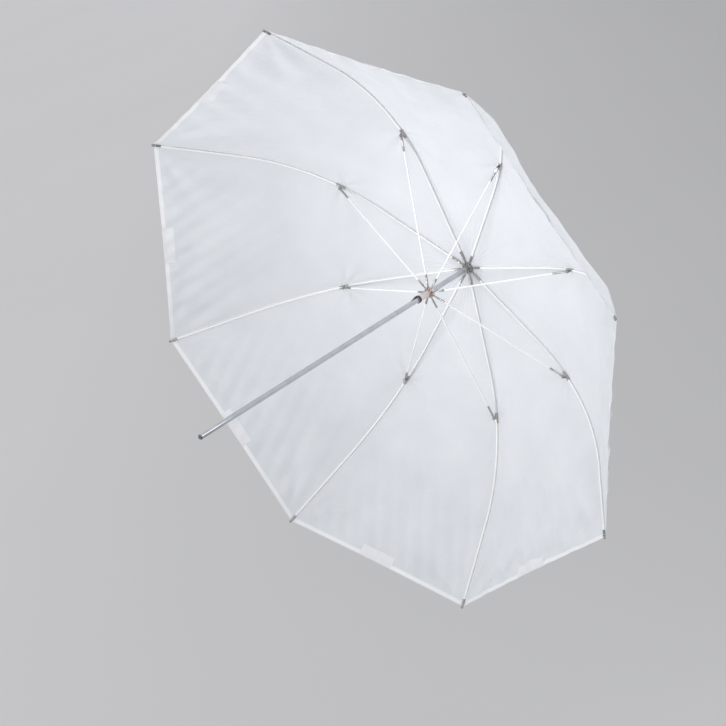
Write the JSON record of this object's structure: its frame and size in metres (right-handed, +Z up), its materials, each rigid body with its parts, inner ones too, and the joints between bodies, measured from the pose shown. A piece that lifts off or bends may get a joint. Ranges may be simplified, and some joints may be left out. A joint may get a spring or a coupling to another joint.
{
  "type": "umbrella reflector",
  "caption": "Folding white shoot-through studio umbrella: fabric canopy on fibreglass ribs and stretchers, with a sliding runner on a slim tube shaft.",
  "frame": {"origin": "on the shaft's axis at the point a stand bracket grips, 421 mm from the notch pivots", "axes": "+Y along the shaft from its free end towards the canopy, +Z up through rib 1, +X to the right seen from the free end; the hollow side faces -Y"},
  "size_m": [0.934, 0.6117, 0.934],
  "materials": {
    "fabric": "white translucent nylon",
    "fibreglass": "white fibreglass rod",
    "ferrule_metal": "dark grey metal",
    "steel": "steel wire",
    "tube": "bright plated tube",
    "warm_metal": "pink-toned satin metal",
    "dark_plastic": "dark plastic",
    "spring_steel": "dark spring steel"
  },
  "bodies": {
    "shaft": {"shaft_tube": "tube", "shaft_end_plug": "dark_plastic", "notch_crown": "ferrule_metal", "notch_wire": "steel", "canopy_washer": "dark_plastic", "top_cap": "ferrule_metal"},
    "catch_spring": {"catch": "spring_steel"},
    "runner": {"runner_sleeve": "warm_metal", "runner_wire": "steel", "runner_collar": "dark_plastic"},
    "inner_1": {"rib_inner_1": "fibreglass", "rib_clip_1": "ferrule_metal", "canopy_inner_1": "fabric"},
    "outer_1": {"rib_outer_1": "fibreglass", "canopy_outer_1": "fabric"},
    "strut_1": {"stretcher_1": "fibreglass"},
    "inner_2": {"rib_inner_2": "fibreglass", "rib_clip_2": "ferrule_metal", "canopy_inner_2": "fabric"},
    "outer_2": {"rib_outer_2": "fibreglass", "canopy_outer_2": "fabric"},
    "strut_2": {"stretcher_2": "fibreglass"},
    "inner_3": {"rib_inner_3": "fibreglass", "rib_clip_3": "ferrule_metal", "canopy_inner_3": "fabric"},
    "outer_3": {"rib_outer_3": "fibreglass", "canopy_outer_3": "fabric"},
    "strut_3": {"stretcher_3": "fibreglass"},
    "inner_4": {"rib_inner_4": "fibreglass", "rib_clip_4": "ferrule_metal", "canopy_inner_4": "fabric"},
    "outer_4": {"rib_outer_4": "fibreglass", "canopy_outer_4": "fabric"},
    "strut_4": {"stretcher_4": "fibreglass"},
    "inner_5": {"rib_inner_5": "fibreglass", "rib_clip_5": "ferrule_metal", "canopy_inner_5": "fabric"},
    "outer_5": {"rib_outer_5": "fibreglass", "canopy_outer_5": "fabric"},
    "strut_5": {"stretcher_5": "fibreglass"},
    "inner_6": {"rib_inner_6": "fibreglass", "rib_clip_6": "ferrule_metal", "canopy_inner_6": "fabric"},
    "outer_6": {"rib_outer_6": "fibreglass", "canopy_outer_6": "fabric"},
    "strut_6": {"stretcher_6": "fibreglass"},
    "inner_7": {"rib_inner_7": "fibreglass", "rib_clip_7": "ferrule_metal", "canopy_inner_7": "fabric"},
    "outer_7": {"rib_outer_7": "fibreglass", "canopy_outer_7": "fabric"},
    "strut_7": {"stretcher_7": "fibreglass"},
    "inner_8": {"rib_inner_8": "fibreglass", "rib_clip_8": "ferrule_metal", "canopy_inner_8": "fabric"},
    "outer_8": {"rib_outer_8": "fibreglass", "canopy_outer_8": "fabric"},
    "strut_8": {"stretcher_8": "fibreglass"}
  },
  "joints": [
    {"name": "fold", "type": "hinge", "parent": "shaft", "child": "inner_1", "pos_m": [0, 0.421, 0.007], "axis": [1, 0, 0], "range_deg": [0, 72], "deforming": ["canopy_inner_1", "catch"]},
    {"name": "fold_2", "type": "hinge", "parent": "shaft", "child": "inner_2", "pos_m": [0.00495, 0.421, 0.00495], "axis": [0.7071, 0, -0.7071], "range_deg": [0, 72], "deforming": ["canopy_inner_2"]},
    {"name": "fold_3", "type": "hinge", "parent": "shaft", "child": "inner_3", "pos_m": [0.007, 0.421, 0], "axis": [0, 0, -1], "range_deg": [0, 72], "deforming": ["canopy_inner_3"]},
    {"name": "fold_4", "type": "hinge", "parent": "shaft", "child": "inner_4", "pos_m": [0.00495, 0.421, -0.00495], "axis": [-0.7071, 0, -0.7071], "range_deg": [0, 72], "deforming": ["canopy_inner_4"]},
    {"name": "fold_5", "type": "hinge", "parent": "shaft", "child": "inner_5", "pos_m": [0, 0.421, -0.007], "axis": [-1, 0, 0], "range_deg": [0, 72], "deforming": ["canopy_inner_5"]},
    {"name": "fold_6", "type": "hinge", "parent": "shaft", "child": "inner_6", "pos_m": [-0.00495, 0.421, -0.00495], "axis": [-0.7071, 0, 0.7071], "range_deg": [0, 72], "deforming": ["canopy_inner_6"]},
    {"name": "fold_7", "type": "hinge", "parent": "shaft", "child": "inner_7", "pos_m": [-0.007, 0.421, 0], "axis": [0, 0, 1], "range_deg": [0, 72], "deforming": ["canopy_inner_7"]},
    {"name": "fold_8", "type": "hinge", "parent": "shaft", "child": "inner_8", "pos_m": [-0.00495, 0.421, 0.00495], "axis": [0.7071, 0, 0.7071], "range_deg": [0, 72], "deforming": ["canopy_inner_8"]},
    {"name": "flex_1", "type": "hinge", "parent": "inner_1", "child": "outer_1", "pos_m": [0, 0.37854, 0.238], "axis": [1, 0, 0], "range_deg": [-30.24, 0], "deforming": ["canopy_outer_1"]},
    {"name": "flex_2", "type": "hinge", "parent": "inner_2", "child": "outer_2", "pos_m": [0.16829, 0.37854, 0.16829], "axis": [0.7071, 0, -0.7071], "range_deg": [-30.24, 0], "deforming": ["canopy_outer_2"]},
    {"name": "flex_3", "type": "hinge", "parent": "inner_3", "child": "outer_3", "pos_m": [0.238, 0.37854, 0], "axis": [0, 0, -1], "range_deg": [-30.24, 0], "deforming": ["canopy_outer_3"]},
    {"name": "flex_4", "type": "hinge", "parent": "inner_4", "child": "outer_4", "pos_m": [0.16829, 0.37854, -0.16829], "axis": [-0.7071, 0, -0.7071], "range_deg": [-30.24, 0], "deforming": ["canopy_outer_4"]},
    {"name": "flex_5", "type": "hinge", "parent": "inner_5", "child": "outer_5", "pos_m": [0, 0.37854, -0.238], "axis": [-1, 0, 0], "range_deg": [-30.24, 0], "deforming": ["canopy_outer_5"]},
    {"name": "flex_6", "type": "hinge", "parent": "inner_6", "child": "outer_6", "pos_m": [-0.16829, 0.37854, -0.16829], "axis": [-0.7071, 0, 0.7071], "range_deg": [-30.24, 0], "deforming": ["canopy_outer_6"]},
    {"name": "flex_7", "type": "hinge", "parent": "inner_7", "child": "outer_7", "pos_m": [-0.238, 0.37854, 0], "axis": [0, 0, 1], "range_deg": [-30.24, 0], "deforming": ["canopy_outer_7"]},
    {"name": "flex_8", "type": "hinge", "parent": "inner_8", "child": "outer_8", "pos_m": [-0.16829, 0.37854, 0.16829], "axis": [0.7071, 0, 0.7071], "range_deg": [-30.24, 0], "deforming": ["canopy_outer_8"]},
    {"name": "strut_turn_1", "type": "hinge", "parent": "inner_1", "child": "strut_1", "pos_m": [0, 0.37387, 0.23623], "axis": [1, 0, 0], "range_deg": [-144, 0]},
    {"name": "strut_turn_2", "type": "hinge", "parent": "inner_2", "child": "strut_2", "pos_m": [0.16704, 0.37387, 0.16704], "axis": [0.7071, 0, -0.7071], "range_deg": [-144, 0]},
    {"name": "strut_turn_3", "type": "hinge", "parent": "inner_3", "child": "strut_3", "pos_m": [0.23623, 0.37387, 0], "axis": [0, 0, -1], "range_deg": [-144, 0]},
    {"name": "strut_turn_4", "type": "hinge", "parent": "inner_4", "child": "strut_4", "pos_m": [0.16704, 0.37387, -0.16704], "axis": [-0.7071, 0, -0.7071], "range_deg": [-144, 0]},
    {"name": "strut_turn_5", "type": "hinge", "parent": "inner_5", "child": "strut_5", "pos_m": [0, 0.37387, -0.23623], "axis": [-1, 0, 0], "range_deg": [-144, 0]},
    {"name": "strut_turn_6", "type": "hinge", "parent": "inner_6", "child": "strut_6", "pos_m": [-0.16704, 0.37387, -0.16704], "axis": [-0.7071, 0, 0.7071], "range_deg": [-144, 0]},
    {"name": "strut_turn_7", "type": "hinge", "parent": "inner_7", "child": "strut_7", "pos_m": [-0.23623, 0.37387, 0], "axis": [0, 0, 1], "range_deg": [-144, 0]},
    {"name": "strut_turn_8", "type": "hinge", "parent": "inner_8", "child": "strut_8", "pos_m": [-0.16704, 0.37387, 0.16704], "axis": [0.7071, 0, 0.7071], "range_deg": [-144, 0]},
    {"name": "runner_turn", "type": "hinge", "parent": "strut_1", "child": "runner", "pos_m": [0, 0.32674, 0.007], "axis": [1, 0, 0], "range_deg": [0, 72]},
    {"name": "catch_press", "type": "slide", "parent": "shaft", "child": "catch_spring", "axis": [0, 0, -1], "range_m": [0, 0.0022], "stiffness_N_per_m": 400}
  ],
  "couplings": [
    {"joint": "fold_2", "follows": "fold", "ratio": 1},
    {"joint": "fold_3", "follows": "fold", "ratio": 1},
    {"joint": "fold_4", "follows": "fold", "ratio": 1},
    {"joint": "fold_5", "follows": "fold", "ratio": 1},
    {"joint": "fold_6", "follows": "fold", "ratio": 1},
    {"joint": "fold_7", "follows": "fold", "ratio": 1},
    {"joint": "fold_8", "follows": "fold", "ratio": 1},
    {"joint": "flex_1", "follows": "fold", "ratio": -0.42},
    {"joint": "flex_2", "follows": "fold", "ratio": -0.42},
    {"joint": "flex_3", "follows": "fold", "ratio": -0.42},
    {"joint": "flex_4", "follows": "fold", "ratio": -0.42},
    {"joint": "flex_5", "follows": "fold", "ratio": -0.42},
    {"joint": "flex_6", "follows": "fold", "ratio": -0.42},
    {"joint": "flex_7", "follows": "fold", "ratio": -0.42},
    {"joint": "flex_8", "follows": "fold", "ratio": -0.42},
    {"joint": "strut_turn_1", "follows": "fold", "ratio": -2},
    {"joint": "strut_turn_2", "follows": "fold", "ratio": -2},
    {"joint": "strut_turn_3", "follows": "fold", "ratio": -2},
    {"joint": "strut_turn_4", "follows": "fold", "ratio": -2},
    {"joint": "strut_turn_5", "follows": "fold", "ratio": -2},
    {"joint": "strut_turn_6", "follows": "fold", "ratio": -2},
    {"joint": "strut_turn_7", "follows": "fold", "ratio": -2},
    {"joint": "strut_turn_8", "follows": "fold", "ratio": -2},
    {"joint": "runner_turn", "follows": "fold", "ratio": 1}
  ]
}
